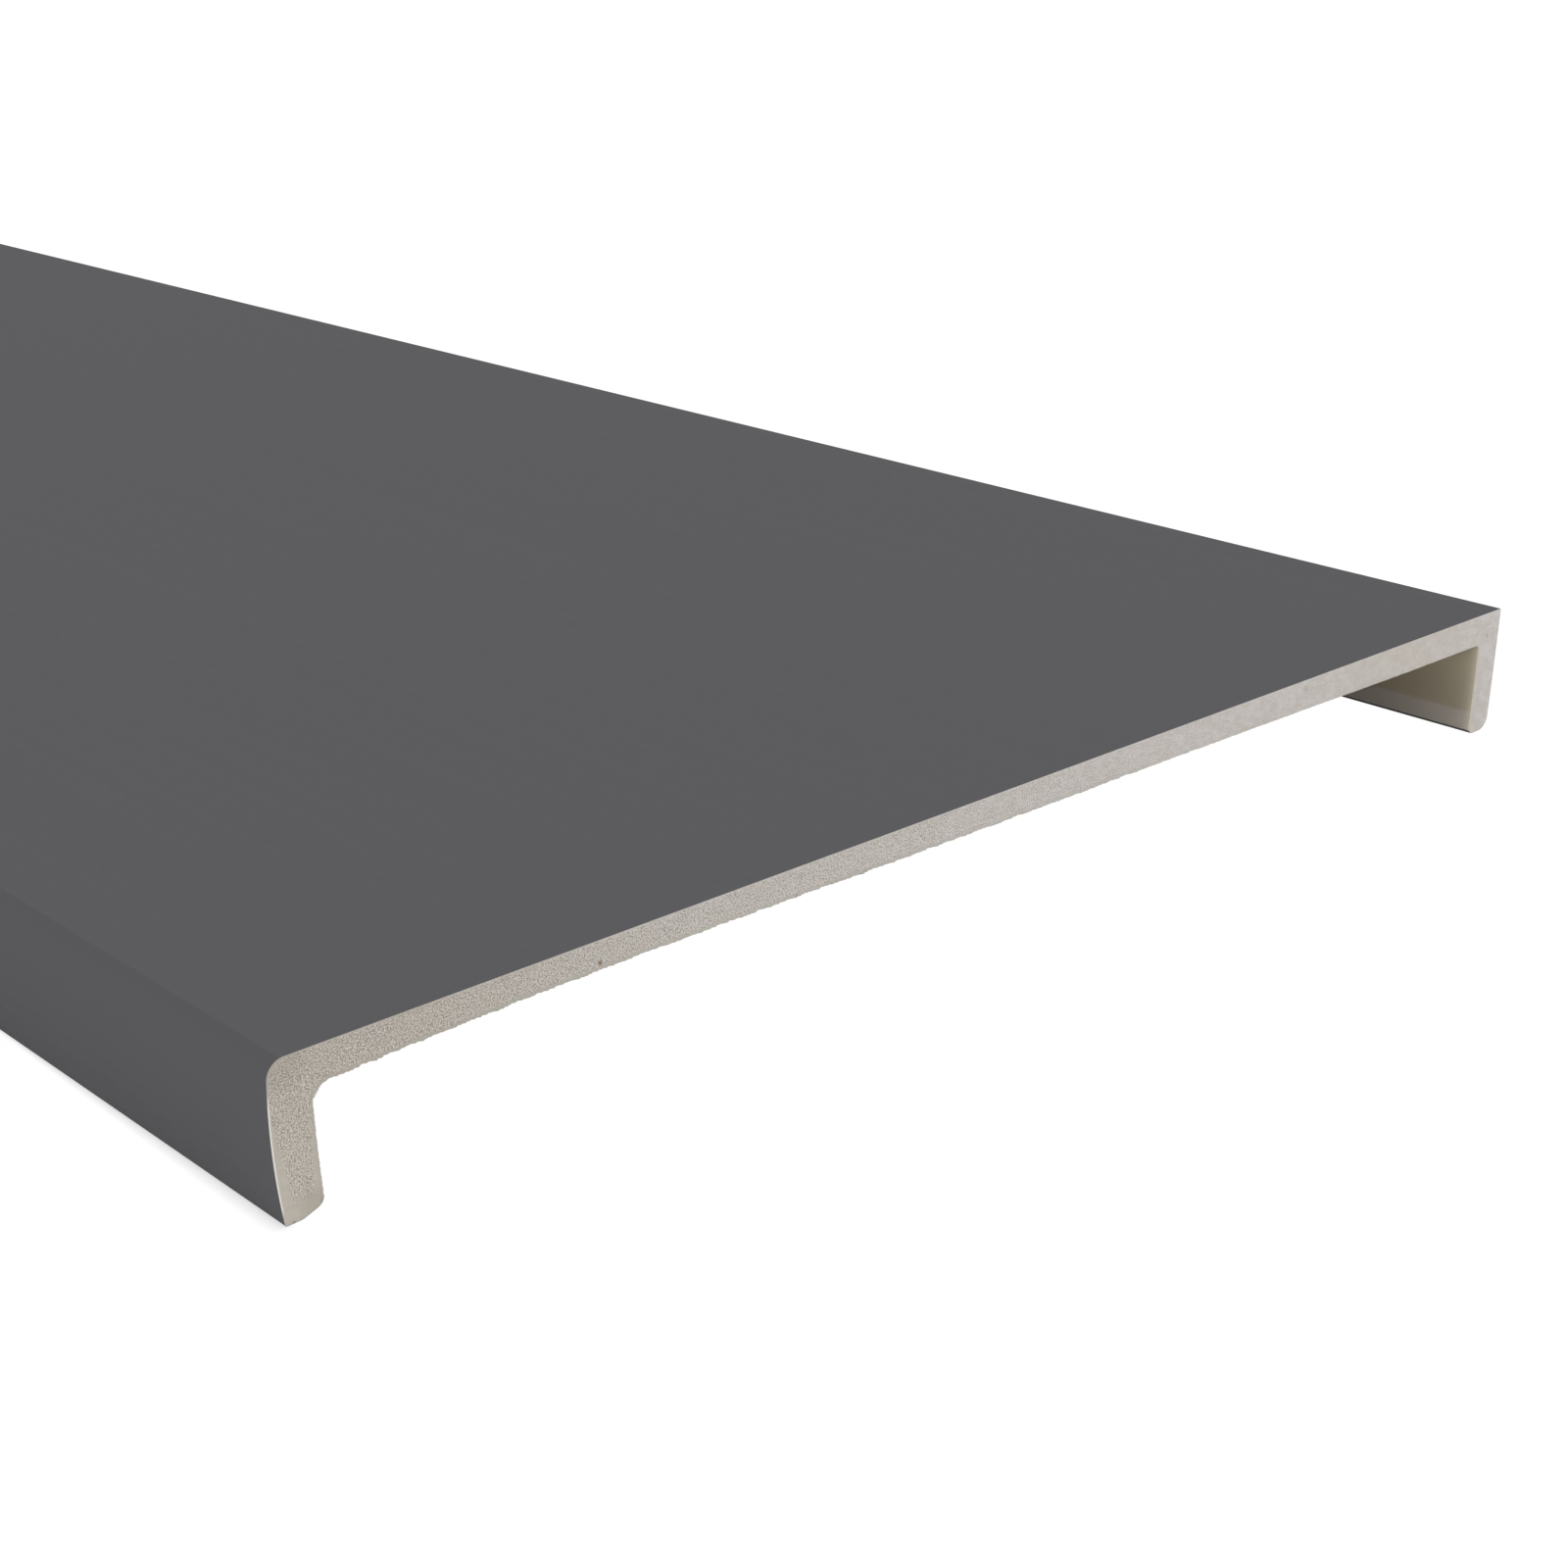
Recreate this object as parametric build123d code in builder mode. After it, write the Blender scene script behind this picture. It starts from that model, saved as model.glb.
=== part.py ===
from build123d import *
import os

# Double-ended fascia board: a flat extruded foam PVC board whose two long edges turn down into legs.
#
# Frame: X across the width, Y along the length, Z up. The board lies on its two leg tips, show
# face up, and the origin is on the floor under the middle of the board. Sizes are millimetres.
#
# The whole board is one extrusion, sawn square at both ends, so it is one solid. Its section is a
# plate with a leg under each long edge. Each leg leans inwards towards its tip, and its faces bow
# outwards, as such a leg does when the extrusion cools. The left leg, at -X, has a rounded upper
# arris, a full bow and a tip whose inner part slopes up. The right leg, at +X, is nearly straight
# and has a nearly square arris.

# Board
board_length = 1250.0
board_width = 405.0  # across the two upper arrises, before they are rounded
board_height = 35.2  # from the leg tips to the show face
plate_thickness = 8.8

# Left leg, at -X
left_leg_thickness = 9.2  # at its top and its tip
left_leg_lean = 1.05  # how far the tip stands in from the upper arris
left_outer_bow = 1.0  # how far the outer face bulges outwards at half height
left_inner_bow = 0.3  # and the inner face, in the same direction
left_arris_radius = 4.2
left_root_radius = 3.0
left_tip_flat = 4.0  # width of the tip's outer part, before the rounding of its two ends
left_tip_slope = 20.0  # degrees, of the tip's inner part
left_tip_outer_radius = 0.8
left_tip_middle_radius = 4.0
left_tip_inner_radius = 2.2

# Right leg, at +X
right_leg_thickness = 9.2
right_leg_lean = 2.3
right_leg_bow = 0.15  # of both its faces
right_arris_radius = 0.5
right_root_radius = 1.2
right_tip_outer_radius = 4.0
right_tip_inner_radius = 2.2

# Places worked out from the sizes above
left_x = -board_width / 2
right_x = board_width / 2
left_tip_x = left_x + left_leg_lean
right_tip_x = right_x - right_leg_lean
slope_start_x = left_tip_x + left_tip_flat
back_z = board_height - plate_thickness


def draw_leg(outer_x, tip_x, width, outer_bow, inner_bow):
    """Draws a leg's outline. Its faces lie a signed `width` apart, and bulge by signed amounts."""
    middle_x = (outer_x + tip_x) / 2
    middle_z = board_height / 2
    top = (outer_x, board_height)
    tip = (tip_x, 0)
    outer_face = ThreePointArc(top, (middle_x + outer_bow, middle_z), tip)
    across_tip = Line(tip, (tip_x + width, 0))
    inner_middle = (middle_x + width + inner_bow, middle_z)
    inner_face = ThreePointArc(across_tip @ 1, inner_middle, (outer_x + width, board_height))
    Line(inner_face @ 1, outer_face @ 0)


def round_corner(sketch, x, z, radius):
    """Rounds the corner of the sketch that is nearest to (x, z)."""
    fillet(sketch.vertices().sort_by_distance((x, z, 0))[0], radius)


with BuildPart() as fascia_board:
    with BuildSketch(Plane.XZ) as section:
        with BuildLine():
            draw_leg(left_x, left_tip_x, left_leg_thickness, -left_outer_bow, -left_inner_bow)
        make_face()
        with BuildLine():
            draw_leg(right_x, right_tip_x, -right_leg_thickness, right_leg_bow, right_leg_bow)
        make_face()

        # The slope is cut by a turned square that reaches past the left leg's inner face.
        with Locations((slope_start_x, 0)):
            Rectangle(
                left_leg_thickness,
                left_leg_thickness,
                rotation=left_tip_slope,
                align=(Align.MIN, Align.MAX),
                mode=Mode.SUBTRACT,
            )

        # The plate runs from inside one leg to inside the other.
        plate_left_x = left_x + left_leg_thickness / 2
        plate_right_x = right_x - right_leg_thickness / 2
        with Locations(((plate_left_x + plate_right_x) / 2, back_z)):
            Rectangle(plate_right_x - plate_left_x, plate_thickness, align=(Align.CENTER, Align.MIN))

        round_corner(section, left_x, board_height, left_arris_radius)
        round_corner(section, left_x + left_leg_thickness, back_z, left_root_radius)
        round_corner(section, left_tip_x, 0, left_tip_outer_radius)
        round_corner(section, slope_start_x, 0, left_tip_middle_radius)
        round_corner(section, left_tip_x + left_leg_thickness, 0, left_tip_inner_radius)
        round_corner(section, right_x, board_height, right_arris_radius)
        round_corner(section, right_x - right_leg_thickness, back_z, right_root_radius)
        round_corner(section, right_tip_x, 0, right_tip_outer_radius)
        round_corner(section, right_tip_x - right_leg_thickness, 0, right_tip_inner_radius)
    extrude(amount=board_length / 2, both=True)

fascia_board.part.label = "fascia_board"
os.makedirs("parts", exist_ok=True)
export_step(fascia_board.part, "parts/fascia_board.step")
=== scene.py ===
"""Double-ended fascia board, dressed for rendering: anthracite skin outside, sawn foam at both ends.

The board is one mesh that takes the place of its plain solid. Its section is drawn here again from
the same sizes, with finer corners. Its two sawn ends are meshed finely enough to carry the pits of
the foam, the back edge that the saw has torn, and the burr it has left in the corner of the leg.
Lengths are named in millimetres and built in metres, in the frame's axes.
"""

import math
import random

import bpy
from mathutils import Matrix, Vector, kdtree, noise
from mathutils.geometry import delaunay_2d_cdt


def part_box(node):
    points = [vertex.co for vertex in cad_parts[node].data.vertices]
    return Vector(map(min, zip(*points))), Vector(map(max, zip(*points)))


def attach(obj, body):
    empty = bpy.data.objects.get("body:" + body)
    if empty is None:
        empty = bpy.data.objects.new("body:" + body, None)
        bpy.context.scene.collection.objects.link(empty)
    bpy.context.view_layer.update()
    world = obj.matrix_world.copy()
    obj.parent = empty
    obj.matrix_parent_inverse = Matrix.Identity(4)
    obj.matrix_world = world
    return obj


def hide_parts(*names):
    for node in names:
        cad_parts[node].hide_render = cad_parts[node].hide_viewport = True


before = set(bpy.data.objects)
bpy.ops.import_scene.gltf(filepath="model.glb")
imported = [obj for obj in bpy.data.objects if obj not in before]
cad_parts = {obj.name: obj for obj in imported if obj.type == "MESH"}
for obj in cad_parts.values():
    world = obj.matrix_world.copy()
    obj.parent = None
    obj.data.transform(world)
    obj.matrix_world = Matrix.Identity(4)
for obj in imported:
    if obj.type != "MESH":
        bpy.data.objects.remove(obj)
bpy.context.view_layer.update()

MM = 0.001
NODE = "fascia_board"

# Board, as its solid is drawn
board_low, board_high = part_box(NODE)
board_width = 405 * MM
board_height = board_high[2]
plate_thickness = 8.8 * MM
back_z = board_height - plate_thickness
near_y = board_low[1]
far_y = board_high[1]

# Left leg, at -X, whose tip slopes up on its inner part
left_leg = {
    "side": -1,
    "thickness": 9.2 * MM,
    "lean": 1.05 * MM,
    "outer_bow": 1.0 * MM,
    "inner_bow": 0.3 * MM,
    "arris": 4.2 * MM,
    "root": 3.0 * MM,
    "tip_outer": 0.8 * MM,
    "tip_inner": 2.2 * MM,
    "tip_flat": 4.0 * MM,
    "tip_slope": math.radians(20),
    "tip_middle": 4.0 * MM,
}

# Right leg, at +X
right_leg = {
    "side": 1,
    "thickness": 9.2 * MM,
    "lean": 2.3 * MM,
    "outer_bow": 0.15 * MM,
    "inner_bow": 0.15 * MM,
    "arris": 0.5 * MM,
    "root": 1.2 * MM,
    "tip_outer": 4.0 * MM,
    "tip_inner": 2.2 * MM,
    "tip_flat": None,
}

# Line on the rounding of the left leg, from which painted shade darkens the skin
shade_line_x = -199.5 * MM
shade_line_width = 0.2 * MM

# Sawn ends: where each lies, which way leads into the board, how roughly it was sawn, and how far
# up the map for baking its place begins
near_end = {
    "y": near_y, "inward": 1, "seed": 1.7, "map_row": 0.77,
    "tear": 2.1 * MM, "burr": 0.6 * MM, "ragged": 1.0,
}
far_end = {
    "y": far_y, "inward": -1, "seed": 8.3, "map_row": 0.54,
    "tear": 0.4 * MM, "burr": 0.3 * MM, "ragged": 0.6,
}
tear_along = [  # mm from the left side, and the tear's share there
    (9.5, 0), (14, 0.35), (24, 0.47), (54, 0.9), (84, 1), (104, 1),
    (154, 0.79), (194, 0.62), (234, 0.55), (314, 0.26), (360, 0),
]
tear_reach = 2.3  # how far a tear runs into the board, as a multiple of its height
chip_reach = 0.6 * MM  # how far the smallest chips run into the board
least_bare_tear = 0.3 * MM  # smaller ones show no bare foam
bare_share = 0.9  # how much of a tear's run shows bare foam
coarse_chips = 0.13 * MM
coarse_lumps = 3.5 * MM
fine_chips = 0.19 * MM
fine_lumps = 0.6 * MM
burr_pitch = 0.65 * MM
burr_from = 9.5 * MM  # from the left side
burr_to = 11.45 * MM

# Mesh
outline_pitch = 0.5 * MM
ragged_pitch = 0.25 * MM
burr_step = 0.1 * MM
end_pitch = 0.5 * MM
rim_clearance = 0.55 * end_pitch
leg_zone = 14 * MM  # how far in from each side a sawn end reaches below the plate
edge_break = 0.08 * MM  # the tiny chamfer along each sawn edge
ring_depths = [edge_break] + [d * MM for d in (0.4, 0.9, 1.6, 2.4, 3.3, 4.3, 5.6, 7.5, 25, 250)]

# Kinds of surface, in the order of the board's materials
FOAM, SKIN, INSIDE = range(3)

# Shadow on the floor. By the near end it shows only in a strip beside the foot of the left leg.
shadow_x = -201.0 * MM
strip_width = 4.6 * MM
strip_last_width = 1.2 * MM
strip_length = 120 * MM
shadow_from = near_y + 90 * MM
shadow_full = near_y + 250 * MM
shadow_reach = 110 * MM
contact_glow = 0.45
open_glow = 0.94

# Floor and light
floor_half_size = 30.0
floor_paint = 0.85
floor_glow = 1.06
sky_strength = 0.94
key_place = Vector((0.9, -2.2, 1.8))
key_power = 6
fill_place = Vector((-2.2, -1.3, 1.1))
fill_power = 7
lamp_target = Vector((0, -0.4, 0))
lamp_size = 1.6

# Camera, worked out from the photograph's vanishing lines
camera_place = Vector((-419.6, -1004.4, 252.7)) * MM
camera_heading = math.radians(42.444)  # to the right of +Y
camera_dip = math.radians(20.994)
camera_roll = math.radians(-0.566)
camera_lens_mm = 59.46
sensor_mm = 36.0


# Section

def face_circle(leg, face):
    """Circle of a leg's bowed "outer" or "inner" face: its centre and radius."""
    side, bow = leg["side"], leg[face + "_bow"]
    offset = leg["thickness"] if face == "inner" else 0
    top_x = side * (board_width / 2 - offset)
    tip_x = top_x - side * leg["lean"]
    half_chord = math.hypot(top_x - tip_x, board_height) / 2
    radius = (half_chord**2 + bow**2) / (2 * bow)
    chord = Vector((tip_x - top_x, -board_height)).normalized()
    inward = Vector((chord.y, -chord.x)) * side
    middle = Vector(((top_x + tip_x) / 2, board_height / 2))
    centre = middle + inward * (radius - bow)
    return centre, radius


def arc_points(centre, start, end, pitch=outline_pitch / 2):
    """Points round a centre, the short way from one point to another."""
    radius = (start - centre).length
    first = math.atan2(start.y - centre.y, start.x - centre.x)
    last = math.atan2(end.y - centre.y, end.x - centre.x)
    turn = (last - first + math.pi) % (2 * math.pi) - math.pi
    steps = max(4, round(abs(turn) * radius / pitch))
    angles = [first + turn * i / steps for i in range(steps + 1)]
    return [centre + radius * Vector((math.cos(a), math.sin(a))) for a in angles]


def rounded_corner(leg, face, radius, line_point, line_normal, outside, **spacing):
    """Rounding from a leg's face to a line whose normal points to the rounding's centre.

    The centre lies outside the face's circle, or inside it.
    """
    face_centre, face_radius = face_circle(leg, face)
    reach = face_radius + radius if outside else face_radius - radius
    start = line_point + line_normal * radius
    along = Vector((-line_normal.y, line_normal.x))
    gap = start - face_centre
    half = gap.dot(along)
    root = math.sqrt(half**2 - gap.length_squared + reach**2)
    crossings = [start + along * (-half + root), start + along * (-half - root)]
    centre = min(crossings, key=lambda p: (p - line_point).length)
    on_face = face_centre + (centre - face_centre) * face_radius / reach
    return arc_points(centre, on_face, centre - line_normal * radius, **spacing)


def along_face(leg, face, start_z, end_z, pitch=outline_pitch):
    """Points of a leg's face strictly between two heights."""
    centre, radius = face_circle(leg, face)
    steps = max(2, round(abs(end_z - start_z) / pitch))
    points = []
    for i in range(1, steps):
        z = start_z + (end_z - start_z) * i / steps
        across = math.sqrt(radius**2 - (z - centre.y) ** 2)
        points.append(Vector((centre.x + leg["side"] * across, z)))
    return points


def along_line(start, end, pitch=outline_pitch):
    """Points strictly between two points."""
    steps = max(2, round((end - start).length / pitch))
    return [start.lerp(end, i / steps) for i in range(1, steps)]


def tip_points(leg, tip_outer, tip_x):
    """The tip from its outer rounding to the inner face: first its flat part, then the inner corner."""
    side, thickness = leg["side"], leg["thickness"]
    up = Vector((0, 1))
    if leg["tip_flat"] is None:
        inner = Vector((tip_x - side * thickness, 0))
        corner = rounded_corner(leg, "inner", leg["tip_inner"], inner, up, True)[::-1]
        return along_line(tip_outer, corner[0]), corner
    slope = leg["tip_slope"]
    normal = Vector((side * math.sin(slope), math.cos(slope)))
    bend = Vector((tip_x - side * leg["tip_flat"], 0))
    setback = leg["tip_middle"] * math.tan(slope / 2)
    bend_start = bend + Vector((side * setback, 0))
    bend_centre = bend_start + up * leg["tip_middle"]
    middle = arc_points(bend_centre, bend_start, bend_centre - normal * leg["tip_middle"])
    inner = bend + Vector((normal.y, -normal.x)) * -side * (thickness - leg["tip_flat"])
    corner = rounded_corner(leg, "inner", leg["tip_inner"], inner, normal, True)[::-1]
    flat = along_line(tip_outer, middle[0]) + middle + along_line(middle[-1], corner[0])
    return flat, corner


def leg_outline(leg):
    """A leg's points from the show face, down the outside, round the tip and up to the back face.

    Each comes with the kind of surface there. The skin wraps most of the tip's inner corner.
    """
    side, thickness = leg["side"], leg["thickness"]
    up = Vector((0, 1))
    arris_at = Vector((side * board_width / 2, board_height))
    tip_at = Vector((arris_at.x - side * leg["lean"], 0))
    root_at = Vector((arris_at.x - side * thickness, back_z))
    arris = rounded_corner(leg, "outer", leg["arris"], arris_at, -up, False)[::-1]
    tip_outer = rounded_corner(leg, "outer", leg["tip_outer"], tip_at, up, False)
    tip, tip_inner = tip_points(leg, tip_outer[-1], tip_at.x)
    root = rounded_corner(leg, "inner", leg["root"], root_at, -up, False, pitch=burr_step)
    outer_face = along_face(leg, "outer", arris[-1].y, tip_outer[0].y)
    inner_face = along_face(leg, "inner", tip_inner[-1].y, root[0].y, ragged_pitch)
    wrapped = len(tip_inner) * 2 // 3
    stretches = [
        (arris + outer_face + tip_outer + tip + tip_inner[:wrapped], "skin"),
        (tip_inner[wrapped:] + inner_face, "inside"),
        (root, "root"),
    ]
    return [(p, kind) for points, kind in stretches for p in points]


def section_outline():
    """The whole section as points, clockwise seen from the near end, and the surface after each."""
    right = leg_outline(right_leg)
    left = leg_outline(left_leg)[::-1]
    left = [(p, left[min(i + 1, len(left) - 1)][1]) for i, (p, _) in enumerate(left)]
    back = [(p, "back") for p in along_line(right[-1][0], left[0][0], ragged_pitch)]
    show = [(p, "skin") for p in along_line(left[-1][0], right[0][0], 2 * outline_pitch)]
    outline = right + back + left + show
    return [p for p, _ in outline], [kind for _, kind in outline]


# Sawn ends

def smooth_step(low, high, value):
    t = min(1, max(0, (value - low) / (high - low)))
    return t * t * (3 - 2 * t)


def ragged(place, size, seed):
    """Noise of about -1 to 1 along the outline, with lumps of about the given size."""
    return 2 * noise.noise(Vector((place.x / size, seed, place.y / size)))


def share_along(points, place):
    """The value at a place between points of (place, value), in straight lines."""
    for (start, first), (stop, last) in zip(points, points[1:]):
        if start <= place <= stop:
            return first + (last - first) * (place - start) / (stop - start)
    return 0


def burr_height(place, end):
    """A comb of small leaning teeth, which the saw has left in the corner of the left leg."""
    from_left = place.x + board_width / 2
    share = (smooth_step(burr_from - 0.3 * MM, burr_from + 0.3 * MM, from_left)
             - smooth_step(burr_to - 0.25 * MM, burr_to + 0.25 * MM, from_left))
    tooth = (place.x + place.y) / burr_pitch % 1
    uneven = 1 + 0.4 * ragged(place, 1.5 * MM, end["seed"] + 6)
    return end["burr"] * share * (0.1 + 1.1 * tooth * uneven)


def rim_shift(place, kind, end):
    """How far the saw has pushed the outline out at a sawn end, or torn it away where negative."""
    if kind == "skin":
        return 0
    from_left = place.x + board_width / 2
    coarse = coarse_chips * ragged(place, coarse_lumps, end["seed"])
    fine = fine_chips * ragged(place, fine_lumps, end["seed"] + 3)
    finer_saw = 1 - 0.75 * smooth_step(200 * MM, 330 * MM, from_left)
    torn = end["tear"] * share_along(tear_along, from_left / MM)
    if kind == "back":
        return min(0, end["ragged"] * finer_saw * (coarse + fine) - torn)
    roughness = end["ragged"] * finer_saw * (0.2 * coarse + 0.5 * fine)
    if kind == "root" and place.x < 0:
        return roughness + burr_height(place, end) - torn
    return roughness


def is_torn(shift, depth):
    """Whether bare foam shows at a depth from a sawn end, where the rim has this shift."""
    return abs(shift) > least_bare_tear and depth < bare_share * tear_reach * abs(shift)


def pit_depth(x, z, depth, seed):
    """How far a point of a sawn end sinks: fine pits all over, but not in the dense skin."""
    place = Vector((x, seed, z))
    fine = noise.noise(place / (0.7 * MM))
    broad = noise.noise(place / (6 * MM))
    open_foam = smooth_step(0.4 * MM, 1.8 * MM, depth)
    finer_saw = 1 - 0.7 * smooth_step(-50 * MM, 150 * MM, x)
    return (0.03 + open_foam * finer_saw * (0.07 + 0.09 * fine + 0.03 * broad)) * MM


def distance_finder(points):
    tree = kdtree.KDTree(len(points))
    for i, p in enumerate(points):
        tree.insert((p.x, p.y, 0), i)
    tree.balance()
    return tree


def inner_points(rim, normals):
    """Points on a jittered grid inside a sawn end's rim, kept clear of the rim itself."""
    finder = distance_finder(rim)
    rng = random.Random(4)
    columns = math.ceil((board_high[0] - board_low[0]) / end_pitch)
    rows = math.ceil(board_height / end_pitch)
    open_half = board_width / 2 - leg_zone
    found = []
    for row in range(rows):
        for column in range(columns):
            x = board_low[0] + (column + 0.5 * (row % 2) + rng.uniform(0.25, 0.75)) * end_pitch
            z = (row + rng.uniform(0.25, 0.75)) * end_pitch
            if abs(x) < open_half and z < back_z:
                continue
            _, i, distance = finder.find((x, z, 0))
            inside = (Vector((x, z)) - rim[i]).dot(normals[i]) < 0
            if inside and distance > rim_clearance:
                found.append(Vector((x, z)))
    return found


# Map for baking: the board's sides unrolled below, and above them its two sawn ends, more finely.
# A sawn end is split in its middle. Its right half lies upside down under its left one, and
# their legs reach past each other.
map_edge = 0.01
map_gap = 0.006
map_step = 0.002  # across the map, between the rings by a sawn end
side_share = 0.52
ring_spread = 8 * MM
half_overlap = 1.5 * MM  # room for triangles that cross the middle
end_scale = (1 - 2 * map_edge) / (board_width / 2 + 2 * half_overlap)
left_half_up = end_scale * plate_thickness + map_gap


def map_places():
    """Where the board's rings lie across the map. Those by a sawn end are spread out."""
    by_end = [i for i, depth in enumerate(ring_depths) if depth < ring_spread]
    near = [map_edge + map_step * i for i in range(len(by_end) + 1)]
    for depth in ring_depths[len(by_end):]:
        share = (depth - ring_spread) / (board_high[1] - ring_spread)
        near.append(near[len(by_end)] + (0.5 - near[len(by_end)]) * share)
    return near + [1 - u for u in near[::-1]]


def end_place(vertex, end, right_half):
    """Where a point of a sawn end lies on the map."""
    if right_half:
        across = vertex[0] + half_overlap
        up = end_scale * (board_height - vertex[2])
    else:
        across = vertex[0] - board_low[0]
        up = left_half_up + end_scale * vertex[2]
    return map_edge + end_scale * across, end["map_row"] + up


class BoardMesh:
    """The board as one closed mesh: a sawn end, rings along the board, and the other sawn end."""

    def __init__(self):
        self.points, self.kinds = section_outline()
        self.count = len(self.points)
        self.normals = []
        for i in range(self.count):
            along = self.points[(i + 1) % self.count] - self.points[i - 1]
            self.normals.append(Vector((-along.y, along.x)).normalized())
        self.vertices, self.faces, self.materials, self.corners = [], [], [], []
        # For each vertex: how far it lies from the rim under the skin and from the rest of the rim,
        # and 1 where the foam is bare
        self.skin_depths, self.bare_depths, self.torn = [], [], []
        self.walked = [0.0]  # how far round the outline each point lies, as a share of the whole
        for i in range(self.count):
            step = (self.points[(i + 1) % self.count] - self.points[i]).length
            self.walked.append(self.walked[-1] + step)
        self.walked = [w / self.walked[-1] for w in self.walked]

    def ring_points(self, shifts, depth):
        """The outline at a depth from a sawn end, where tears and burrs have shrunk or run out."""
        ring = []
        for p, normal, shift in zip(self.points, self.normals, shifts):
            reach = max(chip_reach, tear_reach * abs(shift))
            ring.append(p + normal * shift * max(0, 1 - depth / reach))
        return ring

    def add_points(self, points, skin_depths, bare_depths, torn):
        start = len(self.vertices)
        self.vertices.extend(points)
        self.skin_depths.extend(skin_depths)
        self.bare_depths.extend(bare_depths)
        self.torn.extend(torn)
        return start

    def add_sawn_end(self, end, shifts):
        """Triangles of a sawn end, whose foam has sunk into pits. Gives the points round its rim."""
        rim = [p + n * (s - edge_break) for p, n, s in zip(self.points, self.normals, shifts)]
        flat = rim + inner_points(rim, self.normals)
        loop = [(i, (i + 1) % self.count) for i in range(self.count)]
        order = list(range(self.count))
        # Cut in millimetres, which suits the tolerance, and only inside the rim
        cut = delaunay_2d_cdt([p / MM for p in flat], loop, [order], 1, 1e-6)
        points, triangles, origins = cut[0], cut[2], cut[3]

        to_skin = distance_finder([p for p, kind in zip(rim, self.kinds) if kind == "skin"])
        to_bare = distance_finder([p for p, kind in zip(rim, self.kinds) if kind != "skin"])
        vertices, skin_depths, bare_depths = [], [], []
        for point in points:
            x, z = point.x * MM, point.y * MM
            skin_depths.append(to_skin.find((x, z, 0))[2])
            bare_depths.append(to_bare.find((x, z, 0))[2])
            depth = min(skin_depths[-1], bare_depths[-1])
            y = end["y"] + end["inward"] * pit_depth(x, z, depth, end["seed"])
            vertices.append((x, y, z))
        start = self.add_points(vertices, skin_depths, bare_depths, [1.0] * len(vertices))
        for triangle in triangles:
            turned = triangle if end["inward"] > 0 else triangle[::-1]
            self.faces.append([start + i for i in turned])
            self.materials.append(FOAM)
            right_half = sum(vertices[i][0] for i in turned) > 0
            self.corners += [end_place(vertices[i], end, right_half) for i in turned]

        place_of = {origin: i for i, group in enumerate(origins) for origin in group}
        return [start + place_of[i] for i in order]

    def add_ring(self, end, shifts, depth):
        y = end["y"] + end["inward"] * depth
        ring = self.ring_points(shifts, depth)
        torn = [float(is_torn(shift, depth)) for shift in shifts]
        none = [0.0] * self.count
        start = self.add_points([(p.x, y, p.y) for p in ring], none, none, torn)
        return list(range(start, start + self.count))

    def add_band(self, before, after, foam, left, right):
        """Faces between two rings. Some are bare foam: the edge break, and where the saw has torn.

        On the map the band lies between `left` and `right`.
        """
        for i in range(self.count):
            j = (i + 1) % self.count
            self.faces.append([before[i], before[j], after[j], after[i]])
            self.materials.append(FOAM if foam[i] else SKIN if self.kinds[i] == "skin" else INSIDE)
            low, high = (map_edge + side_share * self.walked[k] for k in (i, i + 1))
            self.corners += [(left, low), (left, high), (right, high), (right, low)]

    def add_end(self, end):
        """A sawn end and the rings behind it, and where the band before each ring is bare foam."""
        shifts = [rim_shift(p, kind, end) for p, kind in zip(self.points, self.kinds)]
        rings = [self.add_sawn_end(end, shifts)]
        rings += [self.add_ring(end, shifts, depth) for depth in ring_depths]
        bare = [[kind != "skin" for kind in self.kinds]]
        for depth in ring_depths[1:]:
            torn = [is_torn(shift, depth) for shift in shifts]
            bare.append([a and b for a, b in zip(torn, torn[1:] + torn[:1])])
        return rings, bare

    def build(self):
        near_rings, near_bare = self.add_end(near_end)
        far_rings, far_bare = self.add_end(far_end)
        rings = near_rings + far_rings[::-1]
        bare = near_bare + [[False] * self.count] + far_bare[::-1]
        places = map_places()
        for i, foam in enumerate(bare):
            self.add_band(rings[i], rings[i + 1], foam, places[i], places[i + 1])

        mesh = bpy.data.meshes.new("fascia_board_finished")
        mesh.from_pydata(self.vertices, [], self.faces)
        mesh.polygons.foreach_set("material_index", self.materials)
        mesh.polygons.foreach_set("use_smooth", [True] * len(self.faces))
        values = {"skin_in": self.skin_depths, "bare_in": self.bare_depths, "torn": self.torn}
        for name, numbers in values.items():
            mesh.attributes.new(name, "FLOAT", "POINT").data.foreach_set("value", numbers)
        flat = [number for corner in self.corners for number in corner]
        mesh.uv_layers.new(name="OFBake").data.foreach_set("uv", flat)
        mesh.update()
        mesh.set_sharp_from_angle(angle=math.radians(30))
        return mesh


# Materials

# Colours, in sRGB from 0 to 255
skin_grey = (88, 88, 90)
skin_streak = (89, 89, 91)
# painted shade for the skin on the left leg's rounding, below the line
skin_painted_shade = (85, 85, 87)
khaki = (171, 161, 140)
khaki_streak = (175, 165, 144)
khaki_low = (152, 142, 124)
foot_grey = (163, 156, 149)
inner_cream = (216, 208, 190)
torn_foam = (186, 180, 172)
foam_leg_low = (190, 183, 173)
# painted shade, darkening the foam towards the top of the left leg
foam_leg_painted_shade = (177, 170, 161)
foam_left = (194, 189, 184)
foam_right = (202, 197, 194)
foam_patch = (192, 184, 166)
foam_cloud = (164, 158, 149)
foam_band = (172, 168, 157)
foam_fleck = (120, 112, 103)
foam_glint = (222, 216, 208)
# painted highlight along the skin's edge on the left leg's sawn face
edge_highlight_white = (232, 229, 223)
rim_cream = (194, 189, 171)

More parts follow.
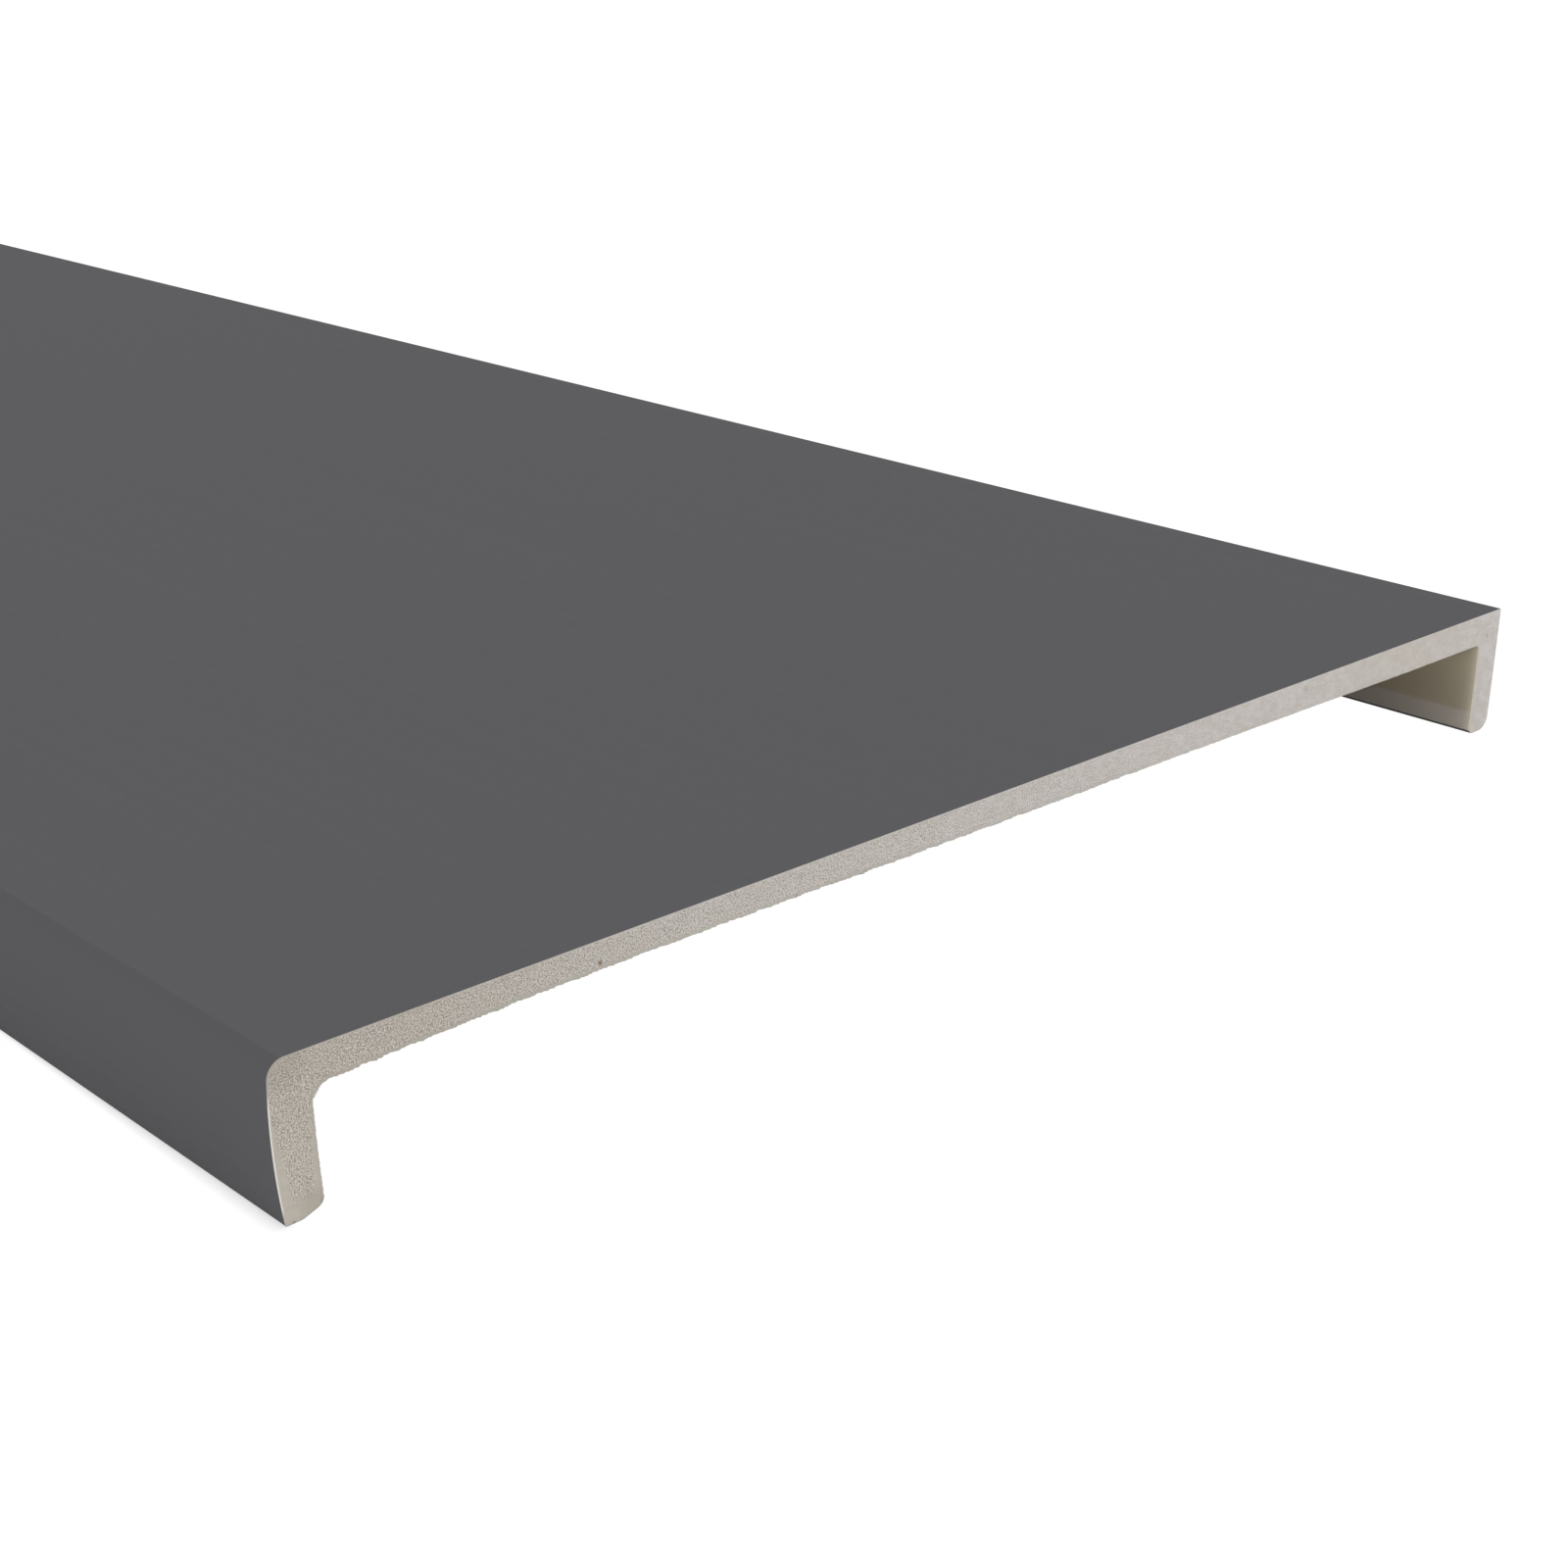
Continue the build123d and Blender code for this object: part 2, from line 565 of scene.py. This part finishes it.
# Small marks on the near end: x and z in millimetres, radius, strength, and colour
marks = [
    # The first two marks are painted shade, under the arris at the top of the left leg and at its foot; the
    # third is the skin's cut edge at the tip with a painted contact shadow.
    (-200.5, 34.5, 9.0, 0.2, (128, 118, 102)),
    (-194.5, 2.0, 5.0, 0.2, (140, 130, 118)),
    (-199.4, 0.1, 0.7, 0.6, (118, 116, 100)),
    (-192.8, 2.5, 1.0, 0.35, (130, 126, 122)),
    (-123.8, 30.0, 0.8, 0.75, (118, 92, 62)),
    (-148.3, 34.2, 0.5, 0.5, (120, 112, 100)),
    (-69.2, 28.6, 0.6, 0.4, (130, 108, 82)),
    (-48.6, 28.0, 0.9, 0.3, (158, 152, 118)),
    (51.3, 29.9, 1.0, 0.25, (196, 180, 132)),
    (88.0, 27.8, 0.7, 0.3, (190, 152, 112)),
    (110.3, 28.8, 0.9, 0.25, (160, 156, 122)),
    (112.0, 32.8, 1.5, 0.3, (138, 130, 116)),
    (148.7, 32.4, 1.0, 0.2, (196, 184, 140)),
    (196.4, 28.4, 0.9, 0.5, (150, 147, 142)),
    (199.3, 30.0, 0.7, 0.4, (150, 147, 142)),
    (158.0, 31.0, 45.0, 0.2, (184, 174, 158)),
]


def srgb(red, green, blue):
    """Linear colour of an sRGB colour given in 0 to 255."""
    levels = [c / 255 for c in (red, green, blue)]
    linear = [c / 12.92 if c <= 0.04045 else ((c + 0.055) / 1.055) ** 2.4 for c in levels]
    return (*linear, 1)


class Shader:
    """Short ways to add nodes to a node tree."""

    interpolation = "LINEAR"

    def __init__(self, tree):
        self.tree = tree

    def feed(self, socket, value):
        """Links an output to a socket, or sets the socket to a plain value."""
        if isinstance(value, bpy.types.NodeSocket):
            self.tree.links.new(value, socket)
        else:
            socket.default_value = value

    def node(self, kind, **inputs):
        """A new node. Each named input is linked from an output, or set to a plain value."""
        node = self.tree.nodes.new(kind)
        for name, value in inputs.items():
            self.feed(node.inputs[name.replace("_", " ")], value)
        return node

    def math(self, operation, first, second=0.0):
        node = self.node("ShaderNodeMath")
        node.operation = operation
        self.feed(node.inputs[0], first)
        self.feed(node.inputs[1], second)
        return node.outputs[0]

    def product(self, first, *others):
        for other in others:
            first = self.math("MULTIPLY", first, other)
        return first

    def ramp(self, value, low, high, start=0.0, end=1.0):
        """Change from `start` to `end` as the value goes from low to high."""
        limits = {"From_Min": low, "From_Max": high, "To_Min": start, "To_Max": end}
        node = self.node("ShaderNodeMapRange", Value=value, **limits)
        node.interpolation_type = self.interpolation
        return node.outputs["Result"]


class Material(Shader):
    """A Principled material, with short ways to add the nodes that these finishes use."""

    interpolation = "SMOOTHSTEP"

    def __init__(self, name, roughness, specular):
        self.material = bpy.data.materials.new(name)
        self.material.use_nodes = True
        super().__init__(self.material.node_tree)
        self.shader = self.tree.nodes["Principled BSDF"]
        self.shader.inputs["Roughness"].default_value = roughness
        self.shader.inputs["Specular IOR Level"].default_value = specular
        self.place = self.node("ShaderNodeTexCoord").outputs["Object"]

    def axis(self, name):
        """The place along X, Y or Z, in metres."""
        return self.node("ShaderNodeSeparateXYZ", Vector=self.place).outputs[name]

    def attribute(self, name):
        node = self.node("ShaderNodeAttribute")
        node.attribute_name = name
        return node.outputs["Fac"]

    def noise(self, lengths, detail=2.0, rough=0.5):
        """Noise of 0 to 1 whose lumps have about the given lengths along X, Y and Z."""
        scale = [1 / length for length in lengths]
        place = self.node("ShaderNodeMapping", Vector=self.place, Scale=scale).outputs["Vector"]
        node = self.node("ShaderNodeTexNoise", Vector=place, Scale=1.0, Detail=detail, Roughness=rough)
        return node.outputs["Fac"]

    def mix(self, factor, first, second):
        """Colour from first to second, each of them an output or an sRGB colour."""
        node = self.node("ShaderNodeMix")
        node.data_type = "RGBA"
        self.feed(node.inputs["Factor"], factor)
        colour_sockets = node.inputs[6], node.inputs[7]
        for socket, colour in zip(colour_sockets, (first, second)):
            self.feed(socket, colour if isinstance(colour, bpy.types.NodeSocket) else srgb(*colour))
        return node.outputs[2]

    def spot(self, place, radius):
        """1 at a place, fading to 0 at about a radius from it."""
        node = self.node("ShaderNodeVectorMath")
        node.operation = "DISTANCE"
        self.feed(node.inputs[0], self.place)
        self.feed(node.inputs[1], place)
        return self.ramp(node.outputs["Value"], 0.3 * radius, radius, 1.0, 0.0)

    def colour(self, value):
        self.feed(self.shader.inputs["Base Color"], value)

    def bump(self, height, distance, strength):
        node = self.node("ShaderNodeBump", Height=height, Distance=distance, Strength=strength)
        self.feed(self.shader.inputs["Normal"], node.outputs["Normal"])


def skin_material():
    """Anthracite skin: even and matt, with faint streaks along the board and a fine orange peel.

    From the line on the left leg's rounding down it carries painted shade, which fades out lower on the
    rounding, where the rounding has turned as dark itself.
    """
    skin = Material("anthracite_skin", 0.6, 0.012)
    streaks = skin.noise((2.5 * MM, 600 * MM, 2.5 * MM), 3.0)
    colour = skin.mix(skin.ramp(streaks, 0.3, 0.7), skin_grey, skin_streak)
    # Painted shade on the left leg's rounding: from the line down, fading out down the rounding
    past_shade_line = skin.ramp(skin.axis("X"), shade_line_x - shade_line_width / 2, shade_line_x + shade_line_width / 2, 1.0, 0.0)
    facing_up = skin.ramp(skin.axis("Z"), board_height - left_leg["arris"], board_height)
    skin.colour(skin.mix(skin.product(past_shade_line, facing_up), colour, skin_painted_shade))
    peel = skin.noise((1.2 * MM, 1.8 * MM, 1.2 * MM), 1.0)
    skin.feed(skin.shader.inputs["Roughness"], skin.ramp(peel, 0.2, 0.8, 0.6, 0.7))
    skin.bump(peel, 0.05 * MM, 0.2)
    return skin.material


def open_foam(foam, coarse):
    """1 where the foam is open and speckled, 0 along the dense rim, in the tips and to the right."""
    z = foam.axis("Z")
    skin_edge = foam.ramp(z, 26 * MM, 8 * MM, 0.1 * MM, 2.2 * MM)
    bare_edge = foam.math("ADD", foam.ramp(z, 23 * MM, 7 * MM, 0.1 * MM, 1.1 * MM),
                          foam.ramp(z, 25 * MM, 27 * MM, 0.0, 0.15 * MM))
    past_skin = foam.math("SUBTRACT", foam.attribute("skin_in"), skin_edge)
    past_bare = foam.math("SUBTRACT", foam.attribute("bare_in"), bare_edge)
    opened = foam.product(foam.ramp(past_skin, 0, 0.6 * MM), foam.ramp(past_bare, 0, 0.7 * MM))
    return foam.product(opened, foam.ramp(z, 3 * MM, 6 * MM), coarse)


def foam_base(foam, coarse):
    """The foam's colour: darkest in the left leg, with painted shade towards its top, and paler to the
    right, partly a real change of tone and partly painted light; with patches and clouds.
    """
    x, z = foam.axis("X"), foam.axis("Z")
    # painted shade: the left leg darkens towards its top
    base = foam.mix(foam.ramp(z, 8 * MM, 29 * MM), foam_leg_low, foam_leg_painted_shade)
    # paler to the right: painted light along with a real change of tone
    base = foam.mix(foam.ramp(x, -195 * MM, -80 * MM), base, foam_left)
    base = foam.mix(foam.ramp(x, -90 * MM, 30 * MM), base, foam_right)
    patches = foam.ramp(foam.noise((7 * MM, 7 * MM, 4 * MM)), 0.35, 0.7)
    base = foam.mix(foam.product(patches, 0.15), base, foam_patch)
    clouds = foam.ramp(foam.noise((2.4 * MM, 2.4 * MM, 1.6 * MM), 2.0, 0.6), 0.35, 0.65)
    base = foam.mix(foam.product(clouds, foam.ramp(x, -100 * MM, 20 * MM, 0.2, 0.28)), base, foam_cloud)
    band = foam.ramp(foam.attribute("bare_in"), 0.4 * MM, 1.2 * MM, 0.4, 0.0)
    return foam.mix(foam.product(band, coarse), base, foam_band)


def foam_edges(foam, colour):
    """Adds a painted highlight along the edge of the skin down the left leg, and the creamy rim inside the
    right leg.
    """
    x, z = foam.axis("X"), foam.axis("Z")
    # painted highlight along the skin's edge down the left leg
    edge_highlight = foam.product(foam.ramp(foam.attribute("skin_in"), 0.25 * MM, 0.5 * MM, 0.8, 0.0),
                       foam.ramp(x, -190 * MM, -196 * MM),
                       foam.ramp(z, 29 * MM, 25 * MM),
                       foam.ramp(z, 2 * MM, 4 * MM))
    rim = foam.product(foam.ramp(foam.attribute("bare_in"), 0, 1.5 * MM, 0.8, 0.0),
                       foam.ramp(x, 180 * MM, 190 * MM),
                       foam.ramp(z, 27 * MM, 24 * MM))
    return foam.mix(rim, foam.mix(edge_highlight, colour, edge_highlight_white), rim_cream)


def foam_material():
    """Sawn foam: coarse and speckled at the left, smoother at the right and paler there with painted light,
    dense at its rim.
    """
    foam = Material("sawn_foam", 0.95, 0.1)
    coarse = foam.ramp(foam.axis("X"), -70 * MM, 170 * MM, 1.0, 0.2)
    opened = open_foam(foam, coarse)
    cells = foam.noise((0.34 * MM, 0.34 * MM, 0.34 * MM), 2.0, 0.6)
    flecks = foam.product(foam.ramp(cells, 0.49, 0.64), opened, 0.75)
    glints = foam.product(foam.ramp(cells, 0.50, 0.36), opened, 0.7)
    colour = foam.mix(flecks, foam_base(foam, coarse), foam_fleck)
    colour = foam.mix(glints, colour, foam_glint)
    colour = foam_edges(foam, colour)
    for mark_x, mark_z, radius, strength, shade in marks:
        place = (mark_x * MM, near_y, mark_z * MM)
        colour = foam.mix(foam.product(foam.spot(place, radius * MM), strength), colour, shade)
    foam.colour(colour)
    foam.bump(foam.product(cells, opened), 0.12 * MM, 0.7)
    return foam.material


def inside_material():
    """Bare inner skin: smooth and khaki, greyer along each foot, paler by the sawn ends and the tears."""
    inside = Material("inner_skin", 0.55, 0.2)
    y, z = inside.axis("Y"), inside.axis("Z")
    streaks = inside.noise((4 * MM, 500 * MM, 4 * MM), 3.0)
    colour = inside.mix(inside.ramp(streaks, 0.3, 0.7), khaki, khaki_streak)
    colour = inside.mix(inside.ramp(z, 24 * MM, 8 * MM), colour, khaki_low)
    colour = inside.mix(inside.ramp(z, 7.2 * MM, 6.0 * MM), colour, foot_grey)
    colour = inside.mix(inside.ramp(inside.attribute("torn"), 0, 1), colour, torn_foam)
    from_end = inside.math("MINIMUM", inside.math("SUBTRACT", y, near_y), inside.math("SUBTRACT", far_y, y))
    fading = inside.math("EXPONENT", inside.math("DIVIDE", from_end, -1.6 * MM))
    inside.colour(inside.mix(inside.product(fading, 0.8), colour, inner_cream))
    inside.bump(inside.noise((3 * MM, 8 * MM, 3 * MM)), 0.1 * MM, 0.3)
    return inside.material


def add_board():
    mesh = BoardMesh().build()
    for material in (foam_material(), skin_material(), inside_material()):
        mesh.materials.append(material)
    board = bpy.data.objects.new("fascia_board_finished", mesh)
    bpy.context.scene.collection.objects.link(board)
    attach(board, "root")
    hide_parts(NODE)


# Stage

class StageShader(Shader):
    """Nodes that light the picture one way and show themselves to the camera another way."""

    def seen(self):
        """1 for what the camera sees, itself or in a mirror or through glass."""
        ray = self.node("ShaderNodeLightPath").outputs
        mirrored = self.math("MAXIMUM", ray["Is Glossy Ray"], ray["Is Transmission Ray"])
        return self.math("MAXIMUM", ray["Is Camera Ray"], mirrored)

    def blend(self, factor, first, second):
        """Surface from one shader node to another."""
        node = self.node("ShaderNodeMixShader", Fac=factor)
        self.feed(node.inputs[1], first.outputs[0])
        self.feed(node.inputs[2], second.outputs[0])
        return node.outputs[0]


def set_world():
    """White light from all round, and plain white behind everything."""
    world = bpy.data.worlds.new("studio")
    world.use_nodes = True
    world.node_tree.nodes.clear()
    bpy.context.scene.world = world
    stage = StageShader(world.node_tree)
    sky = stage.node("ShaderNodeBackground", Color=(1, 1, 1, 1), Strength=sky_strength)
    white = stage.node("ShaderNodeBackground", Color=(1, 1, 1, 1), Strength=1.0)
    stage.node("ShaderNodeOutputWorld", Surface=stage.blend(stage.seen(), sky, white))


def near_strip(stage, place):
    """1 in a narrow strip on the floor, beside the foot of the left leg, by the near end."""
    outside = stage.math("SUBTRACT", shadow_x, place["X"])
    width = stage.ramp(place["Y"], near_y, near_y + strip_length, strip_width, strip_last_width)
    fade = stage.ramp(stage.math("DIVIDE", outside, width), 0, 1, 1, 0)
    left = stage.ramp(outside, -2 * MM, -0.5 * MM)
    behind = stage.ramp(place["Y"], near_y - 2 * MM, near_y)
    return stage.product(fade, left, behind)


def round_board(stage, place):
    """1 under the board, fading out round it and past its far end."""
    past_side = stage.math("SUBTRACT", stage.math("ABSOLUTE", place["X"]), board_width / 2)
    past_end = stage.math("SUBTRACT", place["Y"], far_y)
    squares = [stage.math("POWER", stage.math("MAXIMUM", past, 0.0), 2.0) for past in (past_side, past_end)]
    away = stage.math("SQRT", stage.math("ADD", *squares))
    return stage.math("POWER", stage.ramp(away, 0, shadow_reach, 1, 0), 2.0)


def shadow_share(stage):
    """How much of the board's shadow the floor shows, from 0 to 1.

    By the near end it is a narrow strip beside the foot of the left leg, as in the photograph.
    Further back it is all of the shadow, under the board and round it.
    """
    place = stage.node("ShaderNodeTexCoord").outputs["Object"]
    place = stage.node("ShaderNodeSeparateXYZ", Vector=place).outputs
    further_back = stage.ramp(place["Y"], shadow_from, shadow_full)
    nearer = stage.math("SUBTRACT", 1.0, further_back)
    strip = stage.product(near_strip(stage, place), nearer)
    return stage.math("MAXIMUM", strip, stage.product(round_board(stage, place), further_back))


def add_floor():
    """White floor. The camera sees part of its white as glow, which leaves the shadow on it faint."""
    mesh = bpy.data.meshes.new("floor")
    half = floor_half_size
    corners = [(-half, -half, 0), (half, -half, 0), (half, half, 0), (-half, half, 0)]
    mesh.from_pydata(corners, [], [(0, 1, 2, 3)])
    material = bpy.data.materials.new("white_floor")
    material.use_nodes = True
    material.node_tree.nodes.clear()
    stage = StageShader(material.node_tree)
    paint = stage.node("ShaderNodeBsdfDiffuse", Color=(floor_paint, floor_paint, floor_paint, 1))
    glow = stage.node("ShaderNodeEmission", Strength=floor_glow)
    share = stage.ramp(shadow_share(stage), 0, 1, open_glow, contact_glow)
    glowing = stage.product(share, stage.seen())
    stage.node("ShaderNodeOutputMaterial", Surface=stage.blend(glowing, paint, glow))
    mesh.materials.append(material)
    floor = bpy.data.objects.new("floor", mesh)
    bpy.context.scene.collection.objects.link(floor)


def add_lamp(name, place, power):
    """Soft square lamp, aimed at the near half of the board."""
    light = bpy.data.lights.new(name, "AREA")
    light.shape = "SQUARE"
    light.size = lamp_size
    light.energy = power
    lamp = bpy.data.objects.new(name, light)
    lamp.location = place
    lamp.rotation_euler = (lamp_target - place).to_track_quat("-Z", "Y").to_euler()
    bpy.context.scene.collection.objects.link(lamp)


def add_camera():
    data = bpy.data.cameras.new("camera")
    data.lens = camera_lens_mm
    data.sensor_width = sensor_mm
    data.clip_start = 0.01
    data.clip_end = 100
    camera = bpy.data.objects.new("camera", data)
    camera.matrix_world = (
        Matrix.Translation(camera_place)
        @ Matrix.Rotation(-camera_heading, 4, "Z")
        @ Matrix.Rotation(math.pi / 2 - camera_dip, 4, "X")
        @ Matrix.Rotation(camera_roll, 4, "Z")
    )
    bpy.context.scene.collection.objects.link(camera)
    bpy.context.scene.camera = camera


add_board()
set_world()
add_floor()
add_lamp("key", key_place, key_power)
add_lamp("fill", fill_place, fill_power)
add_camera()
bpy.context.scene.view_settings.view_transform = "Standard"
